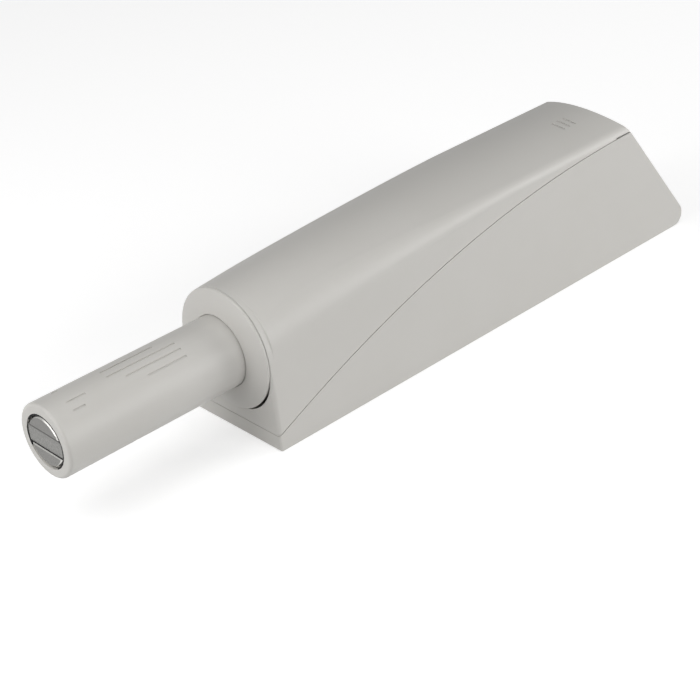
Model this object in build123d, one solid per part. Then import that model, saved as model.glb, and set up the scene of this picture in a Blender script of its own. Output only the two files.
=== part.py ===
from build123d import *
import math
import os

# Magnetic touch latch for a cabinet door, pusher out.
# Millimetres. The model is drawn with x = distance behind the housing's front face and z = 0 on
# the mounting face, then moved so that the origin lies midway between the two base screws.

# Housing outside
housing_length = 66.7
half_width = 7.3
side_draft = 0.055
axis_height = 9.7
rear_top_height = 17.0
front_crest_bulge = 0.04371
rear_crest_radius = 16.1
front_shoulder_blend = 5.0
rear_shoulder_blend = 1.2
least_blend = 0.3
swell_length = 37.0
swell_power = 1.3
swell_steps = 14
rear_angle = 55.0
rear_corner_radius = 1.45
front_straight = 0.6
front_edge_round = 0.15
corner_taper_start = 6.0
corner_taper_end = 10.3
corner_taper_round = 0.17
cover_corner_round = 0.45
base_corner_round = 0.25

# How far cutting shapes reach past a face, past the whole part, and joined shapes into each other
over = 1.0
far = 40.0
join = 0.3

# Housing walls and the swept line between base and cover
wall = 1.2
floor_thickness = 1.8
front_wall = 1.8
rear_wall = 1.4
parting_front = 1.76
parting_rear = 15.06
parting_end_setback = 8.0
parting_power = 2.03
parting_gap = 0.08
release_notch_length = 2.6
release_notch_height = 0.08
release_notch_inner = 4.4

# Base screws
screw_spacing = 32.0
screw_front_distance = 17.0
screw_hole_radius = 1.7
screw_head_radius = 3.3
screw_boss_radius = 4.4
screw_boss_height = 2.8

# Cartridge barrel
barrel_radius = 5.7
barrel_bore = 4.9
barrel_rear_room = 13.7
barrel_fit = 0.05
locating_ring_radius = 6.0
locating_ring_start = 38.8
locating_ring_width = 1.6
window_slack = 0.1
saddle_width = 1.2
base_rib_below_parting = 0.6
base_rib_above_axis = 1.5
cover_rib_above_parting = 0.5
cover_rib_above_axis = 2.0
front_saddle_start = 9.2
middle_saddle_start = 29.0

# Guide collar on the mouth of the cover
collar_radius = 6.76
collar_neck_radius = 6.3
collar_lift = 0.06
collar_rim_width = 0.1
collar_edge_round = 0.2
collar_dome = 0.5
collar_dome_bulge = 0.15
collar_lead_in = 0.05
spigot_end = 6.1
mouth_corner_radius = 5.6
mouth_corner_shift = 1.0
mouth_low_radius = 5.95
mouth_low_shift = 0.86
collar_tab_front = 3.0
collar_tab_width = 2.4
collar_tab_length = 1.2
collar_tab_height = 0.5

# Pusher
pusher_radius = 4.0
pusher_reach = 22.7
pusher_bore = 2.9
running_fit = 0.04
slide_fit = 0.1
seat_fit = 0.05
tip_round = 0.35
full_press_gap = 0.1
latch_overtravel = 1.6

# Magnet in the tip
pocket_radius = 2.95
pocket_depth = 8.0
pocket_web = 1.2
holder_stem_reach = 0.8
magnet_thickness = 1.9
magnet_end_radius = 2.76
magnet_recess = 0.05
magnet_joint = 0.03
magnet_shift_y = 0.04
magnet_shift_z = -0.04
plate_radius = 2.82
plate_recess = 0.0
plate_round_bevel = 0.3
plate_flat_bevel = 0.2
holder_thickness = 1.2
holder_stem_radius = 1.0

# Cam slider behind the pusher tube
buffer_thickness = 0.95
contact_gap = 0.05
slider_length = 18.35
slider_collar_width = 1.6
slider_flat = 3.5
slider_spigot_length = 6.1
spring_pocket_setback = 1.85
track_floor = 2.9
track_half_width = 2.15
track_front_gap = 0.6
track_step = 0.12
track_ramp_root = 0.08
cross_pin_radius = 0.75
cross_pin_setback = 3.1
cross_pin_sink = 0.3

# Follower wire
wire_radius = 0.35
wire_bend = 0.7
follower_height = 3.95
follower_leg_bottom = 3.08
follower_hinge_bottom = 1.9
follower_offset = 1.5
follower_reach = 18.5

# Heart island on the track
heart_half_width = 0.92
heart_horn_length = 0.75
heart_tail_length = 6.2
heart_seat_clearance = 0.08
heart_waist_setback = 1.2
heart_corner = 0.3
heart_seat_edge = 0.02
heart_seat_flare = 0.1

# One-way ramps on the track: side, start and end from the follower's seat
track_ramps = ((1, -1.6, 2.4), (-1, -0.4, 3.6))

# Spring, its rod and seat
spring_radius = 1.95
spring_wire_radius = 0.25
spring_turns = 18
spring_bore = 2.35
spring_seat_thickness = 0.4
spring_seat_bore = 1.2
rod_radius = 1.5
rod_reach = 14.8
rod_end_chamfer = 0.4
rod_end_setback = 0.6

# Rear plug
plug_length = 5.1
plug_flange_width = 1.0
plug_shelf_length = 3.7
hinge_setback = 2.1
pad_thickness = 0.75
leaf_thickness = 0.25
leaf_half_width = 1.1
leaf_reach = 6.9
plug_pin_radius = 0.6
plug_pin_drop = 3.0
plug_pin_setback = 1.5
plug_pin_sink = 0.2
leaf_gap = 0.05
leaf_slot_gap = 0.02
leaf_end_setback = 0.5
leaf_slot_setback = 0.4
leaf_corner_share = 0.6
shelf_gap = 0.08
hinge_hole_gap = 0.04
hinge_hole_extra = 0.1
pad_side_gap = 0.2
pad_bore_gap = 0.1
pad_flat_drop = 0.6
buffer_side_gap = 0.2

# Catches that hold the cover
rear_tongue_width = 2.6
rear_tongue_spacing = 6.4
rear_tongue_thickness = 0.8
rear_barb = 0.6
stop_wall_thickness = 1.0
stop_wall_rise = 3.4
stop_wall_gap = 0.1
tongue_window_drop = 1.2
tongue_window_rise = 0.6
tongue_reach = 1.1
barb_rise = 0.5
front_tab_width = 6.0
front_tab_thickness = 0.8
front_tab_depth = 0.9
front_tab_root = 0.8
catch_fit = 0.12

# Plain grip grooves on top of the cover's rear end
grip_setbacks = (16.3, 15.35, 14.4)
grip_turn = 5.0
grip_length = 2.0
grip_width = 0.35
grip_depth = 0.1

# Plain grooves along the pusher: (front end from the face, length, turn about the axis)
pusher_grooves = (
    (-20.4, 2.2, 18.0),
    (-20.4, 1.4, 34.0),
    (-20.4, 0.7, -18.0),
    (-15.2, 6.4, -6.0),
    (-15.2, 8.4, 10.0),
    (-13.6, 6.8, 24.0),
    (-11.6, 4.8, 38.0),
)
groove_width = 0.2
groove_depth = 0.08

# Worked-out places, all measured behind the housing's front face
front_x = -(screw_front_distance + screw_spacing / 2)
rear_slope = math.tan(math.radians(rear_angle))
rear_foot = housing_length + rear_corner_radius * (
    1.0 / math.tan(math.radians(rear_angle / 2)) - 1.0
)
side_lean = math.atan(side_draft)
front_crest_radius = (
    half_width * math.cos(side_lean) - axis_height * math.sin(side_lean) + front_crest_bulge
)
parting_length = housing_length - parting_end_setback
barrel_end = housing_length - barrel_rear_room
top_z = rear_top_height
slider_front = spigot_end + buffer_thickness + contact_gap
slider_rear = slider_front + slider_length
tube_rear = slider_front
plug_front = barrel_end - plug_length
pad_front = plug_front - pad_thickness
pusher_travel = pad_front - slider_rear - full_press_gap
latch_travel = pusher_travel - latch_overtravel
hinge_x = plug_front + hinge_setback
follower_arm = math.hypot(follower_reach, follower_offset)
tip_x = hinge_x - follower_reach
heart_seat_x = hinge_x - follower_arm - latch_travel
plug_pin_x = barrel_end - plug_pin_setback
cross_pin_x = tube_rear - cross_pin_setback
spring_seat_x = slider_front + spring_pocket_setback
spring_start = spring_seat_x + spring_seat_thickness
spring_end = plug_front
pocket_floor_x = pocket_depth - pusher_reach
slider_radius = barrel_bore - slide_fit
stop_wall_x = barrel_end + plug_flange_width + stop_wall_gap
leaf_z = follower_height + wire_radius + leaf_gap

axis_line = Axis((0, 0, axis_height), (1, 0, 0))


def swelling(front_value, rear_value, x):
    """Value between its front and rear ones; the housing swells from a round to a squarer form."""
    ahead = max(0.0, 1.0 - x / swell_length)
    return rear_value - (rear_value - front_value) * ahead**swell_power


def parting_height(x):
    """Height of the swept line between base and cover."""
    ahead = max(0.0, 1.0 - x / parting_length)
    return parting_rear - (parting_rear - parting_front) * ahead**parting_power


def rear_face_x(z, inset=0.0):
    """Distance of the slanted rear face, or of its inside, at a height."""
    return rear_foot - z / rear_slope - inset / math.sin(math.radians(rear_angle))


def side_y(z):
    """Half width to the leaning side face at a height."""
    return half_width - side_draft * z


def arch_section(x, inset):
    """Cross-section of the housing: leaning sides, rounded shoulders and an arched crest."""
    crest = swelling(front_crest_radius, rear_crest_radius, x) - inset
    blend = swelling(front_shoulder_blend, rear_shoulder_blend, x) - inset
    blend = max(blend, least_blend)
    top_height = swelling(axis_height + front_crest_radius, rear_top_height, x) - inset
    arch_z = top_height - crest
    out = half_width * math.cos(side_lean) - arch_z * math.sin(side_lean) - inset - blend
    up = math.sqrt((crest - blend) ** 2 - out**2)
    centre_y = out * math.cos(side_lean) - up * math.sin(side_lean)
    centre_z = arch_z + out * math.sin(side_lean) + up * math.cos(side_lean)
    turn = math.atan2(centre_z - arch_z, centre_y)

    def on_blend(angle):
        return (centre_y + blend * math.cos(angle), centre_z + blend * math.sin(angle))

    foot = half_width - inset / math.cos(side_lean)
    knee = on_blend(side_lean)
    bend = on_blend((turn + side_lean) / 2)
    shoulder = on_blend(turn)
    top = (0, top_height)
    outline = [
        Line((-foot, 0), (foot, 0)),
        Line((foot, 0), knee),
        ThreePointArc(knee, bend, shoulder),
        ThreePointArc(shoulder, top, (-shoulder[0], shoulder[1])),
        ThreePointArc((-shoulder[0], shoulder[1]), (-bend[0], bend[1]), (-knee[0], knee[1])),
        Line((-knee[0], knee[1]), (-foot, 0)),
    ]
    plane = Plane(origin=(x, 0, 0), x_dir=(0, 1, 0), z_dir=(1, 0, 0))
    return plane * make_face(Curve() + outline)


def swept_form(inset):
    """Housing form before its ends are cut, grown through sections along its length."""
    first = arch_section(0.0, inset)
    front_part = extrude(first, amount=front_straight, dir=(1, 0, 0))
    sections = [Pos(front_straight, 0, 0) * first]
    for i in range(1, swell_steps + 1):
        x = swell_length * (i / swell_steps) ** 2
        if x > front_straight:
            sections.append(arch_section(x, inset))
    swell_part = loft(sections, ruled=True)
    rear_part = extrude(sections[-1], amount=rear_foot + over - swell_length, dir=(1, 0, 0))
    return front_part + swell_part + rear_part


def side_prism(outline, half_depth=far):
    """Solid across the width from a face drawn in side view (x, z)."""
    return extrude(Plane.XZ * outline, amount=half_depth, both=True)


def block(x_start, x_end, y_start, y_end, z_start, z_end):
    """Box given by its limits."""
    size = (x_end - x_start, y_end - y_start, z_end - z_start)
    middle = ((x_start + x_end) / 2, (y_start + y_end) / 2, (z_start + z_end) / 2)
    return Pos(*middle) * Box(*size)


def round_bar(x_start, x_end, radius):
    """Cylinder on the pusher's axis."""
    middle = Pos((x_start + x_end) / 2, 0, axis_height)
    return middle * Rot(0, 90, 0) * Cylinder(radius, x_end - x_start)


def round_tube(x_start, x_end, outer, bore):
    """Tube on the pusher's axis."""
    return round_bar(x_start, x_end, outer) - round_bar(x_start - over, x_end + over, bore)


def cross_bar(x, z, radius, length):
    """Cylinder across the width."""
    return Pos(x, 0, z) * Rot(90, 0, 0) * Cylinder(radius, length)


def upright_bar(x, y, z_start, z_end, radius):
    """Vertical cylinder."""
    return Pos(x, y, (z_start + z_end) / 2) * Cylinder(radius, z_end - z_start)


def outer_form():
    """Outside of the closed housing."""
    high = top_z + over
    outline = Polygon(
        (0, 0), (rear_foot, 0), (rear_face_x(high), high), (0, high), align=None
    )
    corner = outline.vertices().group_by(Axis.Y)[0].sort_by(Axis.X)[-1]
    form = swept_form(0.0) & side_prism(fillet(corner, rear_corner_radius))
    return fillet(form.edges().group_by(Axis.X)[0], front_edge_round)


def corner_cut(side, heights, radii):
    """Wedge that rounds an upright front corner, with a radius for each height."""
    sections = []
    for z, radius in zip(heights, radii):
        corner = side_y(z)
        inner = radius * (1 - math.sqrt(0.5))
        outline = [
            Line((-over, side * (corner - radius)), (-over, side * (corner + over))),
            Line((-over, side * (corner + over)), (radius, side * (corner + over))),
            Line((radius, side * (corner + over)), (radius, side * corner)),
            ThreePointArc(
                (radius, side * corner),
                (inner, side * (corner - inner)),
                (0, side * (corner - radius)),
            ),
            Line((0, side * (corner - radius)), (-over, side * (corner - radius))),
        ]
        sections.append(Pos(0, 0, z) * make_face(Curve() + outline))
    return loft(sections, ruled=True)


def inner_form(inset, front, rear_inset):
    """Hollow inside the housing, or a little more of it."""
    high = top_z + over
    outline = Polygon(
        (front, floor_thickness),
        (rear_face_x(floor_thickness, rear_inset), floor_thickness),
        (rear_face_x(high, rear_inset), high),
        (front, high),
        align=None,
    )
    return swept_form(inset) & side_prism(outline)


def parting_region(above):
    """Side-view region above or below the swept line, half the gap away from it."""
    shift = parting_gap / 2 if above else -parting_gap / 2
    steps = 8
    stations = [parting_length * i / steps for i in range(steps + 1)]
    sweep_line = Spline([(x, parting_height(x) + shift) for x in stations])
    end = rear_foot + over
    limit = top_z + over if above else -over
    front_z = parting_front + shift
    rear_z = parting_rear + shift
    outline = [
        sweep_line,
        Line((parting_length, rear_z), (end, rear_z)),
        Line((end, rear_z), (end, limit)),
        Line((end, limit), (-over, limit)),
        Line((-over, limit), (-over, front_z)),
        Line((-over, front_z), (0, front_z)),
    ]
    return side_prism(make_face(Curve() + outline))


def barrel_room():
    """Space for the barrel and its locating ring, where they reach into the walls."""
    room = round_bar(-over, stop_wall_x, barrel_radius + barrel_fit)
    ring_end = locating_ring_start + locating_ring_width
    ring_room = round_bar(
        locating_ring_start - barrel_fit,
        ring_end + barrel_fit,
        locating_ring_radius + barrel_fit,
    )
    return room + ring_room


def saddle(x_start, form, z_start, z_end):
    """Cross rib that cradles the barrel, cut from a form a little larger than the hollow."""
    x_end = x_start + saddle_width
    rib = block(x_start, x_end, -far, far, z_start, z_end) & form
    return rib - round_bar(x_start - over, x_end + over, barrel_radius + barrel_fit)


def saddle_starts():
    """Where the ribs stand: one in front, one halfway and a pair around the locating ring."""
    ring_end = locating_ring_start + locating_ring_width
    return [
        front_saddle_start,
        middle_saddle_start,
        locating_ring_start - barrel_fit - saddle_width,
        ring_end + barrel_fit,
    ]


def screw_places():
    """Distances of the two base screws behind the front face."""
    return [screw_front_distance, screw_front_distance + screw_spacing]


def rear_tongue_x():
    """Front face of the cover's rear tongues, just behind the stop wall."""
    return stop_wall_x + stop_wall_thickness + catch_fit


def make_base(shell, rib_form):
    """Base with floor, swept side walls, saddles, screw bosses and the wall behind the barrel."""
    below = parting_region(above=False)
    base = shell & below
    for x in saddle_starts():
        below_parting = parting_height(x) - base_rib_below_parting
        reach = min(below_parting, axis_height + base_rib_above_axis)
        base += saddle(x, rib_form, floor_thickness - join, reach)
    stop_wall = block(
        stop_wall_x,
        stop_wall_x + stop_wall_thickness,
        -far,
        far,
        floor_thickness - join,
        axis_height + stop_wall_rise,
    )
    base += stop_wall & rib_form & below
    for side in (-1, 1):
        middle = side * rear_tongue_spacing / 2
        window = rear_tongue_width / 2 + catch_fit
        base -= block(
            stop_wall_x - over,
            stop_wall_x + stop_wall_thickness + over,
            middle - window,
            middle + window,
            axis_height - tongue_window_drop,
            axis_height + tongue_window_rise,
        )
        base -= block(
            rear_tongue_x() - catch_fit,
            rear_tongue_x() + rear_tongue_thickness + catch_fit,
            middle - window,
            middle + window,
            axis_height - tongue_window_drop,
            parting_rear + over,
        )
    for x in screw_places():
        base += upright_bar(x, 0, 0, screw_boss_height, screw_boss_radius)
    for x in screw_places():
        base -= upright_bar(x, 0, -over, screw_boss_height + over, screw_hole_radius)
        depth = screw_head_radius - screw_hole_radius
        sink = Cone(screw_hole_radius, screw_head_radius, depth)
        base -= Pos(x, 0, screw_boss_height - depth / 2) * sink
    for side in (-1, 1):
        base -= corner_cut(
            side, (-over, parting_front + over), (base_corner_round, base_corner_round)
        )
    tab = front_tab_width / 2 + catch_fit
    base -= block(
        front_wall - front_tab_thickness - catch_fit,
        front_wall + catch_fit,
        -tab,
        tab,
        parting_front - front_tab_depth - catch_fit,
        parting_front + over,
    )
    return base


def make_cover(shell, rib_form):
    """Cover with the round mouth, ribs over the barrel, a front tab and two rear tongues."""
    above = parting_region(above=True)
    cover = shell & above
    slot_end = front_wall + over
    kept = round_bar(-2 * over, slot_end + over, collar_neck_radius + collar_lift)
    low = Pos(0, 0, -mouth_low_shift)
    cover -= low * round_bar(-over, slot_end, mouth_low_radius) - kept
    for side in (-1, 1):
        corner = Pos(0, side * mouth_corner_shift, -mouth_corner_shift)
        cover -= corner * round_bar(-over, slot_end, mouth_corner_radius) - kept
        cover -= corner_cut(
            side,
            (parting_front - over, corner_taper_start, corner_taper_end),
            (cover_corner_round, cover_corner_round, corner_taper_round),
        )
    for x in saddle_starts()[1:]:
        above_parting = parting_height(x + saddle_width) + cover_rib_above_parting
        foot = max(above_parting, axis_height + cover_rib_above_axis)
        cover += saddle(x, rib_form, foot, top_z)
    tab = front_tab_width / 2
    cover += block(
        front_wall - front_tab_thickness,
        front_wall,
        -tab,
        tab,
        parting_front - front_tab_depth,
        parting_front + front_tab_root,
    )
    tongue_x = rear_tongue_x()
    tongue_foot = axis_height - tongue_reach
    barb_top = axis_height + barb_rise
    for side in (-1, 1):
        middle = side * rear_tongue_spacing / 2
        low_y = middle - rear_tongue_width / 2
        high_y = middle + rear_tongue_width / 2
        tongue = block(
            tongue_x, tongue_x + rear_tongue_thickness, low_y, high_y, tongue_foot, top_z
        )
        barb = Polygon(
            (tongue_x + join, tongue_foot),
            (tongue_x + join, barb_top),
            (tongue_x - rear_barb, barb_top),
            align=None,
        )
        barb = Pos(0, middle, 0) * side_prism(barb, rear_tongue_width / 2)
        cover += (tongue & swept_form(wall / 2)) + barb
    notch_front = rear_face_x(parting_rear) - release_notch_length
    cover -= block(
        notch_front,
        rear_foot,
        -far,
        far,
        parting_rear - over,
        parting_rear + parting_gap / 2 + release_notch_height,
    ) - block(
        notch_front - over, rear_foot, -release_notch_inner, release_notch_inner, 0, far
    )
    for x in [housing_length - setback for setback in grip_setbacks]:
        groove = block(
            -grip_width / 2,
            grip_width / 2,
            -grip_length / 2,
            grip_length / 2,
            rear_crest_radius - grip_depth,
            rear_crest_radius + over,
        )
        cover -= Pos(x, 0, top_z - rear_crest_radius) * Rot(grip_turn, 0, 0) * groove
    return cover


def make_guide_collar():
    """Domed bush on the cover's mouth that guides the pusher and shows as the ring around it."""
    bore = pusher_radius + running_fit
    back = -collar_lift
    rim = back - collar_rim_width
    edge = rim - collar_edge_round
    crown = edge - collar_dome
    face_outer = collar_radius - collar_edge_round
    face_inner = bore + collar_lead_in
    spigot = barrel_bore - seat_fit
    middle = (face_outer + face_inner) / 2
    corner = collar_edge_round * (1 - math.sqrt(0.5))

    def at(x, radius):
        return (x, axis_height + radius)

    profile = [
        ThreePointArc(
            at(rim, collar_radius),
            at(edge + corner, collar_radius - corner),
            at(edge, face_outer),
        ),
        ThreePointArc(
            at(edge, face_outer),
            at(crown + collar_dome_bulge, middle),
            at(crown, face_inner),
        ),
        Line(at(crown, face_inner), at(crown + collar_lead_in, bore)),
        Line(at(crown + collar_lead_in, bore), at(spigot_end, bore)),
        Line(at(spigot_end, bore), at(spigot_end, spigot)),
        Line(at(spigot_end, spigot), at(0, spigot)),
        Line(at(0, spigot), at(0, collar_neck_radius)),
        Line(at(0, collar_neck_radius), at(back, collar_neck_radius)),
        Line(at(back, collar_neck_radius), at(back, collar_radius)),
        Line(at(back, collar_radius), at(rim, collar_radius)),
    ]
    bush = revolve(Plane.XZ * make_face(Curve() + profile), axis_line)
    for side in (-1, 1):
        reach = barrel_bore + collar_tab_height
        tab = block(
            collar_tab_front,
            collar_tab_front + collar_tab_length,
            min(side * reach, side * (bore + join)),
            max(side * reach, side * (bore + join)),
            axis_height - collar_tab_width / 2,
            axis_height + collar_tab_width / 2,
        )
        bush += tab
    return bush


def make_barrel():
    """Cartridge tube with locating ring, snap windows and the holes for the plug's pin."""
    tube = round_tube(0, barrel_end, barrel_radius, barrel_bore)
    ring_end = locating_ring_start + locating_ring_width
    tube += round_tube(
        locating_ring_start, ring_end, locating_ring_radius, barrel_radius - join
    )
    tube -= block(
        collar_tab_front - window_slack,
        collar_tab_front + collar_tab_length + window_slack,
        -far,
        far,
        axis_height - collar_tab_width / 2 - window_slack,
        axis_height + collar_tab_width / 2 + window_slack,
    )
    tube -= cross_bar(plug_pin_x, axis_height - plug_pin_drop, plug_pin_radius, far)
    return tube


def make_buffer_ring():
    """Elastomer ring that the slider's shoulder meets when the pusher is out."""
    ring = round_tube(
        spigot_end,
        spigot_end + buffer_thickness,
        barrel_bore - seat_fit,
        pusher_radius + buffer_side_gap,
    )
    return ring


def make_pusher_tube():
    """Round pusher with the magnet pocket in its tip and a bore for the slider's spigot."""
    tube = round_bar(-pusher_reach, tube_rear, pusher_radius)
    tip_edge = tube.edges().group_by(Axis.X)[0]
    tube = fillet(tip_edge, tip_round)
    web_end = pocket_floor_x + pocket_web
    tube -= round_bar(-pusher_reach - over, pocket_floor_x, pocket_radius)
    tube -= round_bar(web_end, tube_rear + over, pusher_bore)
    tube -= round_bar(pocket_floor_x - over, web_end + over, holder_stem_radius + seat_fit)
    tube -= cross_bar(cross_pin_x, axis_height, cross_pin_radius, far)
    for start, length, turn in pusher_grooves:
        groove = block(
            start,
            start + length,
            -groove_width / 2,
            groove_width / 2,
            pusher_radius - groove_depth,
            pusher_radius + over,
        )
        tube -= Pos(0, 0, axis_height) * Rot(turn, 0, 0) * groove
    return tube


def make_magnet_holder():
    """Seat disc at the bottom of the pocket with a stem through the web."""
    disc = round_bar(
        pocket_floor_x - holder_thickness, pocket_floor_x, pocket_radius - seat_fit
    )
    stem_end = pocket_floor_x + pocket_web + holder_stem_reach
    stem = round_bar(pocket_floor_x - join, stem_end, holder_stem_radius)
    return disc + stem


def magnet_back():
    """Rear face of magnet and plates, on the holder."""
    return pocket_floor_x - holder_thickness


def make_magnet_bar():
    """Bar magnet across the pocket with rounded ends."""
    front = -pusher_reach + magnet_recess
    half = magnet_thickness / 2 - magnet_joint
    bar = block(front, magnet_back(), -far, far, axis_height - half, axis_height + half)
    return magnet_place() * (bar & round_bar(front, magnet_back(), magnet_end_radius))


def magnet_place():
    """Magnet and plates lie a little to one side of the pocket."""
    return Pos(0, magnet_shift_y, magnet_shift_z)


def make_pole_plate(side):
    """Segment-shaped steel plate on one face of the magnet."""
    front = -pusher_reach + plate_recess
    disc = round_bar(front, magnet_back(), plate_radius)
    disc = chamfer(disc.edges().group_by(Axis.X)[0], plate_round_bevel)
    near = magnet_thickness / 2
    lower = axis_height + near if side > 0 else -far
    upper = far if side > 0 else axis_height - near
    plate = disc & block(front - over, magnet_back() + over, -far, far, lower, upper)
    flat_edges = [
        edge
        for edge in plate.edges().group_by(Axis.X)[0]
        if edge.geom_type == GeomType.LINE
    ]
    return magnet_place() * chamfer(flat_edges, plate_flat_bevel)


def heart_island():
    """Heart-shaped island: pointed tail, two horns and the seat that holds the follower."""
    seat_radius = wire_radius + heart_seat_clearance
    horn_x = heart_seat_x - heart_horn_length
    tail_x = heart_seat_x + heart_tail_length
    waist_x = heart_seat_x + heart_waist_setback
    flare_x = heart_seat_x - heart_seat_flare
    flare_y = seat_radius + heart_seat_edge - heart_seat_flare
    horn_y = heart_half_width - heart_corner
    outline = [
        Line((tail_x, 0), (waist_x, heart_half_width)),
        Line((waist_x, heart_half_width), (horn_x + heart_corner, heart_half_width)),
        Line((horn_x + heart_corner, heart_half_width), (horn_x, horn_y)),
        Line((horn_x, horn_y), (flare_x, flare_y)),
        ThreePointArc(
            (flare_x, flare_y), (heart_seat_x + seat_radius, 0), (flare_x, -flare_y)
        ),
        Line((flare_x, -flare_y), (horn_x, -horn_y)),
        Line((horn_x, -horn_y), (horn_x + heart_corner, -heart_half_width)),
        Line((horn_x + heart_corner, -heart_half_width), (waist_x, -heart_half_width)),
        Line((waist_x, -heart_half_width), (tail_x, 0)),
    ]
    height = slider_flat - track_floor + join
    island = extrude(make_face(Curve() + outline), amount=height)
    return Pos(0, 0, axis_height + track_floor - join) * island


def make_cam_slider():
    """Slide with stop shoulder, spring bore, spigot for the tube and the heart track on top."""
    body = round_bar(slider_front, slider_rear, slider_radius)
    flat_start = slider_front + slider_collar_width
    body -= block(flat_start, slider_rear + over, -far, far, axis_height + slider_flat, far)
    track_end_x = tip_x - pusher_travel - wire_radius - track_front_gap
    body -= block(
        max(track_end_x, flat_start),
        slider_rear + over,
        -track_half_width,
        track_half_width,
        axis_height + track_floor,
        far,
    )
    body += heart_island()
    for side, start, end in track_ramps:
        middle = side * (track_half_width + heart_half_width) / 2
        reach = (track_half_width - heart_half_width) / 2 + track_ramp_root
        ramp = Polygon(
            (heart_seat_x + start, track_floor - track_ramp_root),
            (heart_seat_x + end, track_floor - track_ramp_root),
            (heart_seat_x + start, track_floor + track_step),
            align=None,
        )
        body += Pos(0, middle, axis_height) * side_prism(ramp, reach)
    body += round_bar(
        slider_front - slider_spigot_length, slider_front + join, pusher_bore - seat_fit
    )
    body -= round_bar(spring_seat_x, slider_rear + over, spring_bore)
    body -= cross_bar(cross_pin_x, axis_height, cross_pin_radius, far)
    return body


def make_slider_pin():
    """Cross pin through tube and slider spigot, just under flush."""
    length = 2 * (pusher_radius - cross_pin_sink)
    return cross_bar(cross_pin_x, axis_height, cross_pin_radius, length)


def make_spring_seat():
    """Washer at the bottom of the slider's bore."""
    return round_tube(spring_seat_x, spring_start, spring_bore - seat_fit, spring_seat_bore)


def make_main_spring():
    """Compression spring with ends ground flat."""
    length = spring_end - spring_start
    pitch = (length + 2 * spring_wire_radius) / spring_turns
    coil_length = length + 2 * spring_wire_radius
    path = Helix(pitch, coil_length, spring_radius)
    start_plane = Plane(origin=path @ 0, z_dir=path % 0)
    coil = sweep(start_plane * Circle(spring_wire_radius), path=path)
    coil = Pos(spring_start - spring_wire_radius, 0, axis_height) * Rot(0, 90, 0) * coil
    return coil & block(spring_start, spring_end, -far, far, 0, far)


def make_guide_rod():
    """Steel rod inside the rear of the spring, held in the plug."""
    rod = round_bar(plug_front - rod_reach, barrel_end - rod_end_setback, rod_radius)
    return chamfer(rod.edges().group_by(Axis.X)[0], rod_end_chamfer)


def make_barrel_plug():
    """Rear plug with a shelf for the follower's hinge and a slot for the leaf spring."""
    plug = round_bar(plug_front, barrel_end, barrel_bore - seat_fit)
    plug += round_bar(barrel_end, barrel_end + plug_flange_width, barrel_radius)
    shelf_end = plug_front + plug_shelf_length
    shelf_z = axis_height + follower_height - wire_radius - shelf_gap
    hinge_foot = axis_height + follower_hinge_bottom - hinge_hole_extra
    plug -= block(plug_front - over, shelf_end, -far, far, shelf_z, far)
    plug -= block(
        shelf_end - over,
        barrel_end - leaf_slot_setback,
        -leaf_half_width - seat_fit,
        leaf_half_width + seat_fit,
        axis_height + leaf_z - leaf_slot_gap,
        axis_height + leaf_z + leaf_thickness + leaf_slot_gap,
    )
    plug -= round_bar(plug_front - over, barrel_end - rod_end_setback, rod_radius)
    plug -= upright_bar(hinge_x, 0, hinge_foot, far, wire_radius + hinge_hole_gap)
    plug -= cross_bar(plug_pin_x, axis_height - plug_pin_drop, plug_pin_radius, far)
    return plug


def make_stop_pad():
    """Elastomer pad on the plug's front face for the end of the travel."""
    outer = barrel_bore - pad_side_gap
    pad = round_tube(pad_front + contact_gap, plug_front, outer, spring_bore + pad_bore_gap)
    flat_z = axis_height + follower_height - pad_flat_drop
    return pad - block(0, barrel_end, -far, far, flat_z, far)


def make_follower_pin():
    """Bent wire: hinge leg down into the plug, long arm, short leg down into the track."""
    arm_z = axis_height + follower_height
    path = FilletPolyline(
        (hinge_x, 0, axis_height + follower_hinge_bottom),
        (hinge_x, 0, arm_z),
        (tip_x, follower_offset, arm_z),
        (tip_x, follower_offset, axis_height + follower_leg_bottom),
        radius=wire_bend,
    )
    start_plane = Plane(origin=path @ 0, z_dir=path % 0)
    return sweep(start_plane * Circle(wire_radius), path=path)


def make_leaf_spring():
    """Thin steel strip from the plug that lies on the follower's arm."""
    strip = block(
        plug_front - leaf_reach,
        barrel_end - leaf_end_setback,
        -leaf_half_width,
        leaf_half_width,
        axis_height + leaf_z,
        axis_height + leaf_z + leaf_thickness,
    )
    corners = strip.edges().filter_by(Axis.Z).group_by(Axis.X)[0]
    return fillet(corners, leaf_half_width * leaf_corner_share)


def make_plug_pin():
    """Steel cross pin below the rod, through barrel and plug."""
    chord = 2 * math.sqrt(barrel_radius**2 - plug_pin_drop**2)
    length = chord - 2 * plug_pin_sink
    return cross_bar(plug_pin_x, axis_height - plug_pin_drop, plug_pin_radius, length)


def build_parts():
    """All pieces by name, in drawing position."""
    shell = outer_form() - inner_form(wall, front_wall, rear_wall) - barrel_room()
    rib_form = inner_form(wall / 2, front_wall / 2, rear_wall / 2)
    return {
        "housing_base": make_base(shell, rib_form),
        "housing_cover": make_cover(shell, rib_form),
        "guide_collar": make_guide_collar(),
        "barrel": make_barrel(),
        "buffer_ring": make_buffer_ring(),
        "pusher_tube": make_pusher_tube(),
        "magnet_holder": make_magnet_holder(),
        "magnet_bar": make_magnet_bar(),
        "pole_plate_upper": make_pole_plate(1),
        "pole_plate_lower": make_pole_plate(-1),
        "cam_slider": make_cam_slider(),
        "slider_pin": make_slider_pin(),
        "spring_seat": make_spring_seat(),
        "main_spring": make_main_spring(),
        "guide_rod": make_guide_rod(),
        "barrel_plug": make_barrel_plug(),
        "stop_pad": make_stop_pad(),
        "follower_pin": make_follower_pin(),
        "leaf_spring": make_leaf_spring(),
        "plug_pin": make_plug_pin(),
    }


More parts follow.
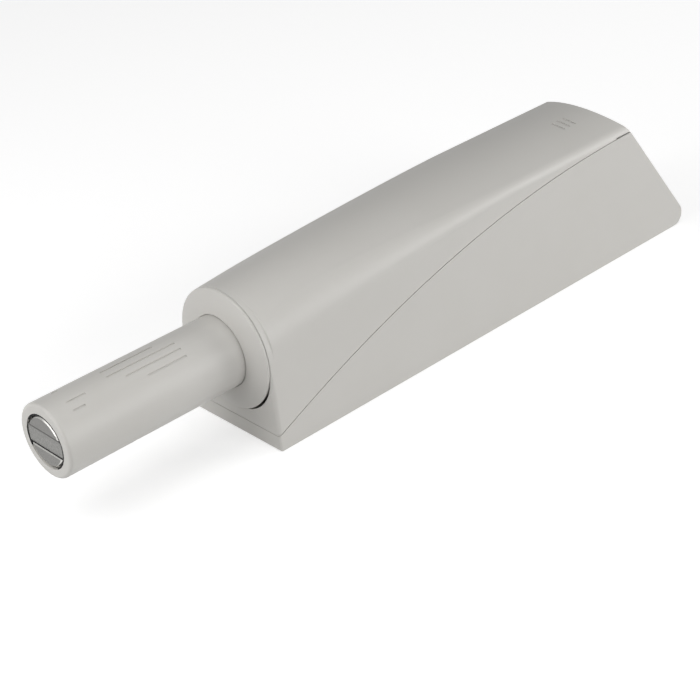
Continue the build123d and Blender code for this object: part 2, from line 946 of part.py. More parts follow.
os.makedirs("parts", exist_ok=True)
for name, shape in build_parts().items():
    export_step(Pos(front_x, 0, 0) * shape, f"parts/{name}.step")
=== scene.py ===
"""Looks of a magnetic touch latch: moulded light grey housing, round pusher and magnet tip.

Sizes are written in millimetres and turned to metres by MM. The frame's origin lies midway
between the two base screws on the mounting face, +X runs to the rear, +Z away from the cabinet.
"""

import logging
import math
from dataclasses import dataclass
from enum import Enum

import bmesh
import bpy
from mathutils import Matrix, Vector

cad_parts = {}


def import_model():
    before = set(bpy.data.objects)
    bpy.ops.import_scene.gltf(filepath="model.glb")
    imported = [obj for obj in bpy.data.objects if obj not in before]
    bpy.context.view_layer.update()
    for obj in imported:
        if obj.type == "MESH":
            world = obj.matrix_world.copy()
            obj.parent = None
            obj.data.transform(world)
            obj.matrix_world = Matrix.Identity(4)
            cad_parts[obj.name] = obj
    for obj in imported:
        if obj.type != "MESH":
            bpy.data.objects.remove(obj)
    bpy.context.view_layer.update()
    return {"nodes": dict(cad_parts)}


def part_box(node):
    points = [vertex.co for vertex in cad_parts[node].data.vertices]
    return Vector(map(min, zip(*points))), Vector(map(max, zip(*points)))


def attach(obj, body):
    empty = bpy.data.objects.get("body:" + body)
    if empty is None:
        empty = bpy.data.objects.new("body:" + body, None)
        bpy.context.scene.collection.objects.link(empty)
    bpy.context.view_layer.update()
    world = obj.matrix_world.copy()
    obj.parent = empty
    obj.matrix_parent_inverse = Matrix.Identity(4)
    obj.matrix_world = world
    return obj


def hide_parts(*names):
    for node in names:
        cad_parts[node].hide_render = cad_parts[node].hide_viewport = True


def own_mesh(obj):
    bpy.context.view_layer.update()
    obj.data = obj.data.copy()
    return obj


MM = 0.001
AXIS_HEIGHT = 9.7
WHITE = (1.0, 1.0, 1.0, 1.0)
ORIGIN = (0.0, 0.0, 0.0)
ALONG_PUSHER = (1.0, 0.0, 0.0)
AXIS_POINT = (0.0, 0.0, AXIS_HEIGHT * MM)
QUARTER_TURN = math.radians(90.0)

# The sRGB standard: where its straight toe ends, the toe's slope, and the curve above it
SRGB_TOE_END = 0.04045
SRGB_TOE_SLOPE = 12.92
SRGB_OFFSET = 0.055
SRGB_POWER = 2.4

Nodes = dict[str, bpy.types.Object]
Point = tuple[float, float, float]

log = logging.getLogger("touch_latch")


class Body(Enum):
    """Bodies of the latch that added pieces ride on."""

    HOUSING = "housing"
    PUSHER = "pusher"


class Slot(Enum):
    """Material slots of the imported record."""

    ELASTOMER = "elastomer"
    SPRING_STEEL = "spring_steel"


class Worked(Enum):
    """Direction in which steel was worked, as the pattern scale that stretches its lines."""

    GROUND_ACROSS = (1.0, 0.12, 1.0)
    DRAWN_ALONG = (0.1, 1.0, 1.0)


def srgb(hex_colour: str) -> tuple[float, float, float, float]:
    """Turn an sRGB hex colour into linear red, green, blue and alpha.

    Args:
        hex_colour: Six hex digits, with or without a leading hash.

    Returns:
        Linear components with an alpha of 1.
    """
    digits = hex_colour.lstrip("#")
    linear = []
    for place in (0, 2, 4):
        value = int(digits[place : place + 2], 16) / 255
        if value <= SRGB_TOE_END:
            linear.append(value / SRGB_TOE_SLOPE)
        else:
            linear.append(((value + SRGB_OFFSET) / (1 + SRGB_OFFSET)) ** SRGB_POWER)
    return (linear[0], linear[1], linear[2], 1.0)


def add_node(
    tree: bpy.types.NodeTree,
    kind: str,
    settings: dict[str | int, object] | None = None,
    links: dict[str | int, bpy.types.NodeSocket] | None = None,
) -> bpy.types.Node:
    """Add a node with its settings and incoming links.

    Args:
        tree: Node tree that takes the node.
        kind: Blender's type name for the node.
        settings: Input sockets by name or number, or attributes written with a leading dot.
        links: Input sockets by name or number with the output socket that feeds each.

    Returns:
        The new node.
    """
    node = tree.nodes.new(kind)
    for name, value in (settings or {}).items():
        if isinstance(name, str) and name.startswith("."):
            setattr(node, name[1:], value)
        else:
            node.inputs[name].default_value = value
    for name, source in (links or {}).items():
        tree.links.new(source, node.inputs[name])
    return node


def empty_material(name: str) -> tuple[bpy.types.Material, bpy.types.NodeTree]:
    """Make a node material with no nodes in it yet.

    Args:
        name: Material name.

    Returns:
        The material and its node tree.
    """
    material = bpy.data.materials.new(name)
    material.use_nodes = True
    material.node_tree.nodes.clear()
    return material, material.node_tree


@dataclass(frozen=True)
class Pattern:
    """Noise in a skin: the real size of one cell, its detail and how rough the detail is."""

    cell_mm: float
    detail: float
    detail_roughness: float = 0.5

    def settings(self) -> dict[str, float]:
        """Noise settings at which one cell measures cell_mm on the object."""
        scale = 1.0 / (self.cell_mm * MM)
        return {"Scale": scale, "Detail": self.detail, "Roughness": self.detail_roughness}


@dataclass(frozen=True)
class Relief:
    """How strongly a pattern shows as relief, and its real depth."""

    strength: float
    depth_mm: float

    def settings(self) -> dict[str, float]:
        """Bump settings for this relief."""
        return {"Strength": self.strength, "Distance": self.depth_mm * MM}


@dataclass(frozen=True)
class Finish:
    """Finish with two close tones, on the object's own coordinates."""

    name: str
    colour: str
    second_colour: str

    def material(self) -> bpy.types.Material:
        """Build the material.

        Returns:
            The finished material.
        """
        material, tree = empty_material(self.name)
        place = add_node(tree, "ShaderNodeTexCoord").outputs["Object"]
        shader = self.shade(tree, place)
        add_node(tree, "ShaderNodeOutputMaterial", links={"Surface": shader.outputs[0]})
        return material

    def tones(self) -> dict[str | int, object]:
        """Settings that blend the finish's two tones in a mix node."""
        return {".data_type": "RGBA", 6: srgb(self.colour), 7: srgb(self.second_colour)}

    def shade(
        self, tree: bpy.types.NodeTree, place: bpy.types.NodeSocket
    ) -> bpy.types.Node:
        """Build the finish's shader.

        Args:
            tree: Node tree that takes the nodes.
            place: Socket with the shaded point's place on the object.

        Returns:
            The shader node.
        """
        raise NotImplementedError


@dataclass(frozen=True)
class MouldedPlastic(Finish):
    """Injection-moulded plastic from a spark-eroded mould.

    The mould's fine grain breaks highlights into a satin sheen, the wall's uneven shrinking
    leaves slow waves in the skin, and the flow of the melt leaves faint clouds in the colour.
    """

    roughness: float = 0.46
    roughness_spread: float = 0.05
    clouds: Pattern = Pattern(9.0, 3.0, 0.55)
    # An eroded mould's grain is about 0.03 mm across, too fine to show, so it is drawn coarser.
    grain: Pattern = Pattern(0.14, 2.0, 0.6)
    grain_relief: Relief = Relief(0.35, 0.004)
    waves: Pattern = Pattern(2.4, 1.0)
    wave_relief: Relief = Relief(0.3, 0.006)
    ior: float = 1.5
    specular: float = 0.45

    def shade(
        self, tree: bpy.types.NodeTree, place: bpy.types.NodeSocket
    ) -> bpy.types.Node:
        """Build the plastic's shader from clouds, grain and waves.

        Args:
            tree: Node tree that takes the nodes.
            place: Socket with the shaded point's place on the object.

        Returns:
            The shader node.
        """
        at = {"Vector": place}
        clouds = add_node(tree, "ShaderNodeTexNoise", self.clouds.settings(), at)
        grain = add_node(tree, "ShaderNodeTexNoise", self.grain.settings(), at)
        waves = add_node(tree, "ShaderNodeTexNoise", self.waves.settings(), at)
        settings = {
            "To Min": self.roughness - self.roughness_spread,
            "To Max": self.roughness + self.roughness_spread,
        }
        links = {"Value": grain.outputs["Fac"]}
        gloss = add_node(tree, "ShaderNodeMapRange", settings, links)
        links = {"Height": waves.outputs["Fac"]}
        wavy = add_node(tree, "ShaderNodeBump", self.wave_relief.settings(), links)
        links = {"Height": grain.outputs["Fac"], "Normal": wavy.outputs["Normal"]}
        grainy = add_node(tree, "ShaderNodeBump", self.grain_relief.settings(), links)
        skin = add_node(tree, "ShaderNodeMix", self.tones(), {0: clouds.outputs["Fac"]})
        settings = {"IOR": self.ior, "Specular IOR Level": self.specular}
        links = {
            "Base Color": skin.outputs[2],
            "Roughness": gloss.outputs["Result"],
            "Normal": grainy.outputs["Normal"],
        }
        return add_node(tree, "ShaderNodeBsdfPrincipled", settings, links)


@dataclass(frozen=True)
class WorkedSteel(Finish):
    """Steel that keeps the marks of how it was worked.

    Fine lines along the wire or across the ground plate draw the highlights out sideways, and
    the metal's tone wanders a little from line to line. Bevels may get a painted highlight.
    """

    roughness: float
    worked: Worked
    # Drawing and grinding lines are about 0.01 mm apart, too fine to show, so drawn coarser.
    lines: Pattern = Pattern(0.05, 3.0, 0.6)
    relief: Relief = Relief(0.4, 0.002)
    smoother: float = 0.06
    rougher: float = 0.1
    # Colour of the painted highlight on the bevels; none leaves them as the flats.
    bevel_highlight_colour: str | None = None
    bevel_slope: float = 0.707
    bevel_spread: float = 0.15

    def shade(
        self, tree: bpy.types.NodeTree, place: bpy.types.NodeSocket
    ) -> bpy.types.Node:
        """Build the steel's shader from its worked lines.

        Args:
            tree: Node tree that takes the nodes.
            place: Socket with the shaded point's place on the object.

        Returns:
            The shader node.
        """
        settings = {"Scale": self.worked.value}
        stretched = add_node(tree, "ShaderNodeMapping", settings, {"Vector": place})
        links = {"Vector": stretched.outputs["Vector"]}
        lines = add_node(tree, "ShaderNodeTexNoise", self.lines.settings(), links)
        settings = {
            "To Min": self.roughness - self.smoother,
            "To Max": self.roughness + self.rougher,
        }
        links = {"Value": lines.outputs["Fac"]}
        gloss = add_node(tree, "ShaderNodeMapRange", settings, links)
        links = {"Height": lines.outputs["Fac"]}
        bump = add_node(tree, "ShaderNodeBump", self.relief.settings(), links)
        links = {0: lines.outputs["Fac"]}
        skin = add_node(tree, "ShaderNodeMix", self.tones(), links).outputs[2]
        # Bevels get a brighter colour: a painted highlight.
        if self.bevel_highlight_colour:
            skin = self.paint_bevel_highlight(tree, skin)
        links = {
            "Base Color": skin,
            "Roughness": gloss.outputs["Result"],
            "Normal": bump.outputs["Normal"],
        }
        return add_node(tree, "ShaderNodeBsdfPrincipled", {"Metallic": 1.0}, links)

    def paint_bevel_highlight(
        self, tree: bpy.types.NodeTree, skin: bpy.types.NodeSocket
    ) -> bpy.types.NodeSocket:
        """Paint a highlight on the bevels in a brighter colour, and leave the flats as they
        are.

        Args:
            tree: Node tree that takes the nodes.
            skin: Colour of the flats.

        Returns:
            Socket with the colour of flats and bevels.
        """
        facing = add_node(tree, "ShaderNodeNewGeometry").outputs["True Normal"]
        along = add_node(tree, "ShaderNodeSeparateXYZ", links={0: facing}).outputs["X"]
        settings = {".operation": "ABSOLUTE"}
        slope = add_node(tree, "ShaderNodeMath", settings, {0: along}).outputs[0]
        # Faces at about 45 degrees to the axis, the bevels, take the painted highlight.
        settings = {".operation": "COMPARE", 1: self.bevel_slope, 2: self.bevel_spread}
        bevel = add_node(tree, "ShaderNodeMath", settings, {0: slope}).outputs[0]
        settings = {".data_type": "RGBA", 7: srgb(self.bevel_highlight_colour)}
        return add_node(tree, "ShaderNodeMix", settings, {0: bevel, 6: skin}).outputs[2]


@dataclass(frozen=True)
class SinteredMagnet(Finish):
    """Pressed and sintered magnet: a dull grey, open-grained face with paler crystals."""

    # Sintered grains are a few hundredths of a millimetre, and are drawn coarser to show.
    grain: Pattern = Pattern(0.16, 5.0, 0.7)
    relief: Relief = Relief(0.6, 0.02)
    crystal_low: float = 0.35
    crystal_high: float = 0.65
    metallic: float = 0.55
    roughness: float = 0.52

    def shade(
        self, tree: bpy.types.NodeTree, place: bpy.types.NodeSocket
    ) -> bpy.types.Node:
        """Build the magnet's shader from its grain.

        Args:
            tree: Node tree that takes the nodes.
            place: Socket with the shaded point's place on the object.

        Returns:
            The shader node.
        """
        at = {"Vector": place}
        grain = add_node(tree, "ShaderNodeTexNoise", self.grain.settings(), at)
        settings = {"From Min": self.crystal_low, "From Max": self.crystal_high}
        links = {"Value": grain.outputs["Fac"]}
        crystals = add_node(tree, "ShaderNodeMapRange", settings, links)
        links = {"Height": grain.outputs["Fac"]}
        bump = add_node(tree, "ShaderNodeBump", self.relief.settings(), links)
        links = {0: crystals.outputs["Result"]}
        skin = add_node(tree, "ShaderNodeMix", self.tones(), links)
        settings = {"Metallic": self.metallic, "Roughness": self.roughness}
        links = {"Base Color": skin.outputs[2], "Normal": bump.outputs["Normal"]}
        return add_node(tree, "ShaderNodeBsdfPrincipled", settings, links)


@dataclass(frozen=True)
class DryPolymer(Finish):
    """Moulded elastomer, and the black and grey pieces of painted shade at the tip: a dry,
    slightly uneven skin that hardly shines.
    """

    skin: Pattern = Pattern(0.3, 3.0)
    relief: Relief = Relief(0.3, 0.01)
    roughness: float = 0.72
    specular: float = 0.25

    def shade(
        self, tree: bpy.types.NodeTree, place: bpy.types.NodeSocket
    ) -> bpy.types.Node:
        """Build the polymer's shader from its uneven skin.

        Args:
            tree: Node tree that takes the nodes.
            place: Socket with the shaded point's place on the object.

        Returns:
            The shader node.
        """
        at = {"Vector": place}
        uneven = add_node(tree, "ShaderNodeTexNoise", self.skin.settings(), at)
        links = {"Height": uneven.outputs["Fac"]}
        bump = add_node(tree, "ShaderNodeBump", self.relief.settings(), links)
        skin = add_node(tree, "ShaderNodeMix", self.tones(), {0: uneven.outputs["Fac"]})
        settings = {"Roughness": self.roughness, "Specular IOR Level": self.specular}
        links = {"Base Color": skin.outputs[2], "Normal": bump.outputs["Normal"]}
        return add_node(tree, "ShaderNodeBsdfPrincipled", settings, links)


def paint(nodes: Nodes, names: tuple[str, ...], finish: Finish) -> None:
    """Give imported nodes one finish.

    Args:
        nodes: Node objects by name.
        names: Nodes that wear the finish.
        finish: Their finish.
    """
    material = finish.material()
    for name in names:
        mesh = nodes[name].data
        mesh.materials.clear()
        mesh.materials.append(material)
        log.info("dressed %s in %s", name, finish.name)


def add_piece(
    name: str,
    shape: bmesh.types.BMesh,
    material: bpy.types.Material,
    body: Body,
) -> bpy.types.Object:
    """Turn a finished bmesh into a piece that rides on a body.

    Args:
        name: Piece name.
        shape: Mesh in metres, in the frame's own place; it is freed here.
        material: Its material.
        body: Body that carries it.

    Returns:
        The piece.
    """
    bmesh.ops.recalc_face_normals(shape, faces=shape.faces)
    mesh = bpy.data.meshes.new(name)
    shape.to_mesh(mesh)
    shape.free()
    mesh.materials.append(material)
    piece = bpy.data.objects.new(name, mesh)
    bpy.context.collection.objects.link(piece)
    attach(piece, body.value)
    log.info("built %s, %d faces, on %s", name, len(mesh.polygons), body.value)
    return piece


def flat_start(length: float, width: float) -> bmesh.types.BMesh:
    """Start a bmesh from one flat face around the origin, length along X and width along Y."""
    shape = bmesh.new()
    bmesh.ops.create_grid(shape, x_segments=1, y_segments=1, size=0.5)
    bmesh.ops.scale(shape, vec=(length * MM, width * MM, 1.0), verts=shape.verts)
    return shape


def stand_up(shape: bmesh.types.BMesh) -> None:
    """Turn a flat bmesh at the origin a quarter turn about X, so that it stands on its edge."""
    turn = Matrix.Rotation(QUARTER_TURN, 3, "X")
    bmesh.ops.rotate(shape, cent=ORIGIN, matrix=turn, verts=shape.verts)


def sweep_round(
    shape: bmesh.types.BMesh, angle: float, steps: int, advance: float = 0.0
) -> None:
    """Sweep a profile about the pusher's axis into a closed bar.

    Args:
        shape: Profile in its place, of one face.
        angle: Angle of the sweep in radians.
        steps: Number of steps.
        advance: How far each step moves along the axis, in millimetres.
    """
    bmesh.ops.spin(
        shape,
        geom=shape.verts[:] + shape.edges[:] + shape.faces[:],
        cent=AXIS_POINT,
        axis=ALONG_PUSHER,
        dvec=(advance * MM, 0.0, 0.0),
        angle=angle,
        steps=steps,
        use_merge=False,
    )


@dataclass
class Housing:
    """Base, cover and the guide collar in the cover's mouth."""

    finish: MouldedPlastic = MouldedPlastic(
        "housing_abs_moulded_satin", "#C6C4C0", "#C1BFBA"
    )
    shells: tuple[str, ...] = ("housing_base", "housing_cover", "guide_collar")

    def dress(self, nodes: Nodes) -> None:
        """Give the housing's shells their moulded skin."""
        paint(nodes, self.shells, self.finish)


@dataclass
class Cartridge:
    """Barrel with its plug, springs, pins and buffers, held inside the housing."""

    barrel: MouldedPlastic = MouldedPlastic(
        "barrel_nylon_moulded", "#A9A8A4", "#A19F9B", roughness=0.5
    )
    # A polished mould gives the sliding acetal a smoother, glossier skin than the shells.
    plug: MouldedPlastic = MouldedPlastic(
        "plug_acetal_moulded",
        "#E3E1DA",
        "#DAD7CE",
        roughness=0.34,
        grain_relief=Relief(0.35, 0.002),
    )
    wire: WorkedSteel = WorkedSteel(
        "spring_steel_drawn", "#B4B4B2", "#A2A2A0", 0.26, Worked.DRAWN_ALONG
    )
    rubber: DryPolymer = DryPolymer("buffer_elastomer_moulded", "#1B1B1B", "#242424")
    barrel_names: tuple[str, ...] = ("barrel", "magnet_holder")
    plug_names: tuple[str, ...] = ("cam_slider", "barrel_plug")
    rubber_names: tuple[str, ...] = ("buffer_ring", "stop_pad")
    wire_names: tuple[str, ...] = (
        "slider_pin",
        "spring_seat",
        "main_spring",
        "guide_rod",
        "follower_pin",
        "leaf_spring",
        "plug_pin",
    )
    coil_radius: float = 1.95
    coil_turns: int = 18
    coil_turn_steps: int = 24
    wire_radius: float = 0.25
    wire_sides: int = 10
    pusher_travel: float = 21.6

    def dress(self, nodes: Nodes) -> None:
        """Give the inner pieces their plastics, drawn steel and elastomer."""
        paint(nodes, self.barrel_names, self.barrel)
        paint(nodes, self.plug_names, self.plug)
        paint(nodes, self.wire_names, self.wire)
        paint(nodes, self.rubber_names, self.rubber)

    def build(self, nodes: Nodes) -> None:
        """Wind the spring anew as a coil between its seats, in place of the imported one.

        Args:
            nodes: Node objects by name.
        """
        low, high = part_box("main_spring")
        length = (high.x - low.x) / MM
        shape = bmesh.new()
        bmesh.ops.create_circle(
            shape, cap_ends=True, segments=self.wire_sides, radius=self.wire_radius * MM
        )
        stand_up(shape)
        start = low.x / MM + self.wire_radius
        place = Vector((start, 0.0, AXIS_HEIGHT + self.coil_radius))
        bmesh.ops.translate(shape, verts=shape.verts, vec=place * MM)
        steps = self.coil_turns * self.coil_turn_steps
        advance = (length - 2 * self.wire_radius) / steps
        sweep_round(shape, math.tau * self.coil_turns, steps, advance)
        for face in shape.faces:
            face.smooth = True
        steel = nodes["main_spring"].data.materials[0]
        name = "main_spring_coil"
        coil = add_piece(name, shape, steel, Body.HOUSING)
        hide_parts("main_spring")
        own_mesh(coil)


@dataclass
class PusherTube:
    """Round pusher tube, its acetal skin a shade glossier than the housing's."""

    finish: MouldedPlastic = MouldedPlastic(
        "pusher_acetal_moulded_satin", "#C6C4C0", "#C0BEB9", roughness=0.43
    )

    def dress(self, nodes: Nodes) -> None:
        """Give the tube its moulded skin."""
        paint(nodes, ("pusher_tube",), self.finish)


@dataclass(frozen=True)
class ShadeArc:
    """Arc of painted shade around the magnet pack, its ends in degrees from the top towards the
    near side.
    """

    name: str
    start_deg: float
    end_deg: float


@dataclass(frozen=True)
class ShadeLine:
    """Line of painted shade between the magnet and a plate: its thickness, and its depth below
    the face.
    """

    name: str
    plate: str
    height: float
    recess: float


@dataclass
class MagnetTip:
    """Magnet between two ground pole plates, framed by black and grey lines and arcs of painted
    shade where the gaps lie in shade.
    """

    plates: WorkedSteel = WorkedSteel(
        "pole_steel_ground",
        "#858481",
        "#71706E",
        0.26,
        Worked.GROUND_ACROSS,
        lines=Pattern(0.06, 3.0, 0.6),
        # The plates' bevels get a painted highlight in this brighter colour.
        bevel_highlight_colour="#CFCECA",
    )
    magnet: SinteredMagnet = SinteredMagnet("magnet_sintered", "#757573", "#989794")
    # Black for the arcs and the lower line: painted shade in gaps that lie in shade.
    black: DryPolymer = DryPolymer("painted_shade_black", "#050505", "#0B0B0B")
    # Mid grey for the upper line: painted shade in the groove over the magnet.
    shade_grey: DryPolymer = DryPolymer("painted_shade_grey", "#5A5957", "#646361")
    plate_names: tuple[str, ...] = ("pole_plate_upper", "pole_plate_lower")
    shade_arc_outer: float = 2.945
    shade_arc_wall: float = 0.17
    shade_arc_length: float = 0.16
    # Arcs of painted shade, where the gap between magnet pack and pocket looks black.
    shade_arcs: tuple[ShadeArc, ...] = (
        ShadeArc("painted_shade_arc_left", -119.0, -76.0),
        ShadeArc("painted_shade_arc_top", -57.0, 72.0),
        ShadeArc("painted_shade_arc_right", 82.0, 150.0),
    )
    shade_arc_step_deg: float = 2.8
    # Lines of painted shade along the seams between magnet and plates.
    upper_shade_line: ShadeLine = ShadeLine("painted_shade_line_upper", "pole_plate_upper", 0.18, 0.045)
    lower_shade_line: ShadeLine = ShadeLine("painted_shade_line_lower", "pole_plate_lower", 0.13, 0.0)
    shade_line_half_width: float = 2.6
    shade_line_depth: float = 0.6
    shade_line_round: float = 0.01
    shade_line_round_segments: int = 2

    def dress(self, nodes: Nodes) -> None:
        """Give plates and magnet their finishes."""
        paint(nodes, self.plate_names, self.plates)
        paint(nodes, ("magnet_bar",), self.magnet)

    def build(self) -> None:
        """Add the black arcs of painted shade around the magnet pack and the two lines of
        painted shade at its seams.
        """
        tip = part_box("pusher_tube")[0].x / MM
        black = self.black.material()
        for arc in self.shade_arcs:
            self.build_shade_arc(arc, tip, black)
        self.build_shade_line(self.upper_shade_line, tip, self.shade_grey.material())
        self.build_shade_line(self.lower_shade_line, tip, black)

    def build_shade_arc(self, arc: ShadeArc, tip: float, material: bpy.types.Material) -> None:
        """Sweep one black arc of painted shade into the gap between magnet pack and pocket.

        Args:
            arc: The arc.
            tip: Place of the tip's face along X, in millimetres.
            material: The arc's material.
        """
        shape = flat_start(self.shade_arc_length, self.shade_arc_wall)
        stand_up(shape)
        middle = AXIS_HEIGHT + self.shade_arc_outer - self.shade_arc_wall / 2
        place = Vector((tip + self.shade_arc_length / 2, 0.0, middle))
        bmesh.ops.translate(shape, verts=shape.verts, vec=place * MM)
        start = Matrix.Rotation(math.radians(arc.start_deg), 3, "X")
        bmesh.ops.rotate(shape, cent=AXIS_POINT, matrix=start, verts=shape.verts)
        span = arc.end_deg - arc.start_deg
        sweep_round(shape, math.radians(span), round(span / self.shade_arc_step_deg))
        add_piece(arc.name, shape, material, Body.PUSHER)

    def build_shade_line(self, shade_line: ShadeLine, tip: float, material: bpy.types.Material) -> None:
        """Lay a thin line of painted shade between the magnet and one plate.

        Args:
            shade_line: The line of painted shade.
            tip: Place of the tip's face along X, in millimetres.
            material: The line's material.
        """
        low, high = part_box("magnet_bar")
        plate_low, plate_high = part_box(shade_line.plate)
        above = plate_low.z > low.z
        seam = (high.z + plate_low.z) / 2 if above else (low.z + plate_high.z) / 2
        middle_y = (low.y + high.y) / 2 / MM
        shape = flat_start(self.shade_line_depth, 2 * self.shade_line_half_width)
        drawn = bmesh.ops.extrude_face_region(shape, geom=shape.faces[:])["geom"]
        moved = [part for part in drawn if isinstance(part, bmesh.types.BMVert)]
        bmesh.ops.translate(shape, verts=moved, vec=(0.0, 0.0, shade_line.height * MM))
        bmesh.ops.bevel(
            shape,
            geom=shape.edges[:],
            offset=self.shade_line_round * MM,
            offset_type="OFFSET",
            segments=self.shade_line_round_segments,
            profile=0.5,
            affect="EDGES",
            material=-1,
        )
        place = Vector((tip + shade_line.recess + self.shade_line_depth / 2, middle_y, seam / MM))
        bmesh.ops.translate(shape, verts=shape.verts, vec=place * MM)
        add_piece(shade_line.name, shape, material, Body.PUSHER)


@dataclass(frozen=True)
class Lamp:
    """Soft square lamp: where it hangs, the side of its face, and its power."""

    name: str
    place_mm: Point
    size_mm: float
    watts: float


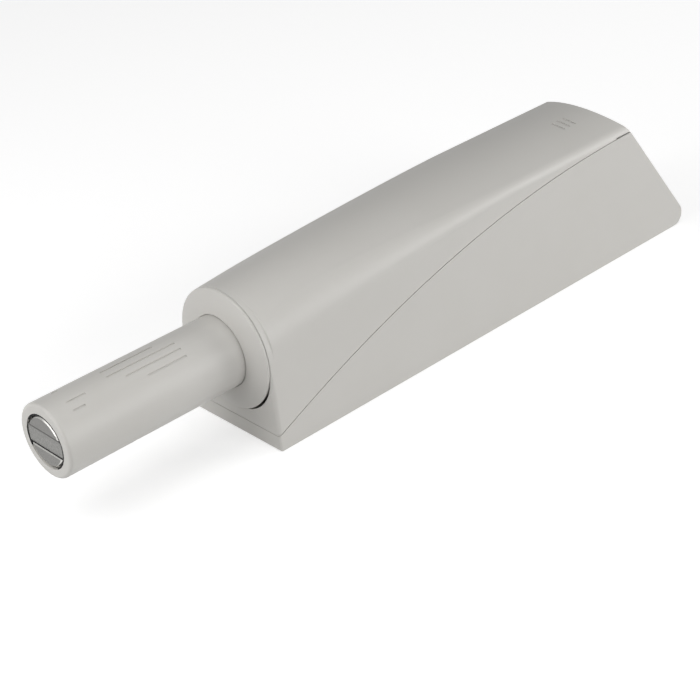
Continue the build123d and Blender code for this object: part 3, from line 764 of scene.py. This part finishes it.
@dataclass
class Studio:
    """Pale cove, soft lamps and the camera at the photographed angle.

    The paper's glow is seen by camera, reflections and glass alone, and lights nothing.
    """

    target_mm: Point = (-23.953, -8.841, 8.627)
    camera_mm: Point = (-128.817, -127.548, 102.405)
    roll_deg: float = -4.572
    focal_px: float = 1796.3
    frame_px: float = 700.0
    sensor_mm: float = 36.0
    nearest_mm: float = 10.0
    lamp_aim_mm: Point = (-10.0, 0.0, AXIS_HEIGHT)
    lamps: tuple[Lamp, ...] = (
        Lamp("side_softbox", (60.0, -500.0, 180.0), 300.0, 1.16),
        Lamp("rear_softbox", (400.0, -260.0, 80.0), 250.0, 1.35),
        Lamp("front_softbox", (-420.0, 20.0, 60.0), 250.0, 0.74),
        Lamp("mouth_softbox", (-110.0, 20.0, 110.0), 80.0, 0.05),
        Lamp("tip_softbox", (-200.0, 60.0, 60.0), 100.0, 0.034),
        Lamp("top_softbox", (0.0, 0.0, 500.0), 400.0, 0.54),
    )
    ambient: float = 0.12
    paper_tone: float = 0.62
    paper_glow: float = 0.59
    floor_drop_mm: float = 0.02
    floor_radius_mm: float = 2200.0
    floor_sides: int = 128
    cove_radius_mm: float = 300.0
    cove_steps: int = 8
    wall_height_mm: float = 400.0

    def camera(self) -> None:
        """Place the camera and make it the scene's own."""
        lens = bpy.data.cameras.new("photo_camera")
        lens.sensor_width = self.sensor_mm
        lens.lens = self.focal_px / self.frame_px * self.sensor_mm
        lens.clip_start = self.nearest_mm * MM
        camera = bpy.data.objects.new("photo_camera", lens)
        place = Vector(self.camera_mm) * MM
        view = (Vector(self.target_mm) * MM - place).normalized()
        level = view.to_track_quat("-Z", "Y").to_matrix().to_4x4()
        roll = Matrix.Rotation(math.radians(self.roll_deg), 4, "Z")
        camera.matrix_world = Matrix.Translation(place) @ level @ roll
        bpy.context.collection.objects.link(camera)
        bpy.context.scene.camera = camera

    def cove(self) -> None:
        """Lay a round pale floor under the mounting face that curves up into a low wall."""
        shape = bmesh.new()
        radius = self.floor_radius_mm
        sides = self.floor_sides
        bmesh.ops.create_circle(shape, cap_ends=True, segments=sides, radius=radius * MM)
        rim = [edge for edge in shape.edges if edge.is_boundary]
        height = 0.0
        for step in range(1, self.cove_steps + 2):
            if step > self.cove_steps:
                next_radius = radius
                rise = self.wall_height_mm
            else:
                angle = QUARTER_TURN * step / self.cove_steps
                next_radius = self.floor_radius_mm + self.cove_radius_mm * math.sin(angle)
                rise = self.cove_radius_mm * (1 - math.cos(angle)) - height
            drawn = bmesh.ops.extrude_edge_only(shape, edges=rim)["geom"]
            moved = [part for part in drawn if isinstance(part, bmesh.types.BMVert)]
            rim = [part for part in drawn if isinstance(part, bmesh.types.BMEdge)]
            spread = next_radius / radius
            bmesh.ops.scale(shape, vec=(spread, spread, 1.0), verts=moved)
            bmesh.ops.translate(shape, verts=moved, vec=(0.0, 0.0, rise * MM))
            radius = next_radius
            height += rise
        drop = (0.0, 0.0, -self.floor_drop_mm * MM)
        bmesh.ops.translate(shape, verts=shape.verts, vec=drop)
        mesh = bpy.data.meshes.new("studio_cove")
        shape.to_mesh(mesh)
        shape.free()
        mesh.materials.append(self.paper())
        cove = bpy.data.objects.new("studio_cove", mesh)
        bpy.context.collection.objects.link(cove)

    def paper(self) -> bpy.types.Material:
        """Matt white paper that looks white and still takes the object's shadow.

        Returns:
            The cove's material.
        """
        material, tree = empty_material("studio_paper_matt")
        rays = add_node(tree, "ShaderNodeLightPath").outputs
        links = {0: rays["Is Camera Ray"], 1: rays["Is Glossy Ray"]}
        seen = add_node(tree, "ShaderNodeMath", {".operation": "MAXIMUM"}, links)
        links = {0: seen.outputs[0], 1: rays["Is Transmission Ray"]}
        seen = add_node(tree, "ShaderNodeMath", {".operation": "MAXIMUM"}, links)
        settings = {".operation": "MULTIPLY", 1: self.paper_glow}
        glow = add_node(tree, "ShaderNodeMath", settings, {0: seen.outputs[0]})
        tone = (self.paper_tone, self.paper_tone, self.paper_tone, 1.0)
        paper = add_node(tree, "ShaderNodeBsdfDiffuse", {"Color": tone})
        links = {"Strength": glow.outputs[0]}
        lift = add_node(tree, "ShaderNodeEmission", {"Color": WHITE}, links)
        links = {0: paper.outputs[0], 1: lift.outputs[0]}
        lit = add_node(tree, "ShaderNodeAddShader", links=links)
        add_node(tree, "ShaderNodeOutputMaterial", links={"Surface": lit.outputs[0]})
        return material

    def world(self) -> None:
        """Set up faint even light all around, which glossy surfaces see as pale walls."""
        world = bpy.data.worlds.new("studio_world")
        world.use_nodes = True
        tree = world.node_tree
        tree.nodes.clear()
        rays = add_node(tree, "ShaderNodeLightPath").outputs
        settings = {"To Min": self.ambient, "To Max": self.paper_glow}
        links = {"Value": rays["Is Glossy Ray"]}
        seen = add_node(tree, "ShaderNodeMapRange", settings, links)
        links = {"Strength": seen.outputs["Result"]}
        air = add_node(tree, "ShaderNodeBackground", {"Color": WHITE}, links)
        add_node(tree, "ShaderNodeOutputWorld", links={"Surface": air.outputs[0]})
        bpy.context.scene.world = world

    def hang(self, lamp: Lamp) -> None:
        """Hang one lamp so that it faces the object.

        Args:
            lamp: Its place, size and power.
        """
        light = bpy.data.lights.new(lamp.name, "AREA")
        light.size = lamp.size_mm * MM
        light.energy = lamp.watts
        holder = bpy.data.objects.new(lamp.name, light)
        place = Vector(lamp.place_mm) * MM
        aim = Vector(self.lamp_aim_mm) * MM - place
        facing = aim.to_track_quat("-Z", "Y").to_matrix().to_4x4()
        holder.matrix_world = Matrix.Translation(place) @ facing
        holder.visible_camera = False
        bpy.context.collection.objects.link(holder)

    def build(self) -> None:
        """Set up cove, world, lamps and camera."""
        self.cove()
        self.world()
        for lamp in self.lamps:
            self.hang(lamp)
        self.camera()
        log.info("studio ready with %d lamps", len(self.lamps))


def main() -> None:
    """Load the frame, dress and complete each sub-assembly, and set up the studio."""
    logging.basicConfig(level=logging.INFO, format="%(name)s: %(message)s")
    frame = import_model()
    nodes = frame["nodes"]
    Housing().dress(nodes)
    cartridge = Cartridge()
    cartridge.dress(nodes)
    cartridge.build(nodes)
    PusherTube().dress(nodes)
    tip = MagnetTip()
    tip.dress(nodes)
    tip.build()
    Studio().build()
    bpy.context.scene.view_settings.view_transform = "Standard"


if __name__ == "__main__":
    main()
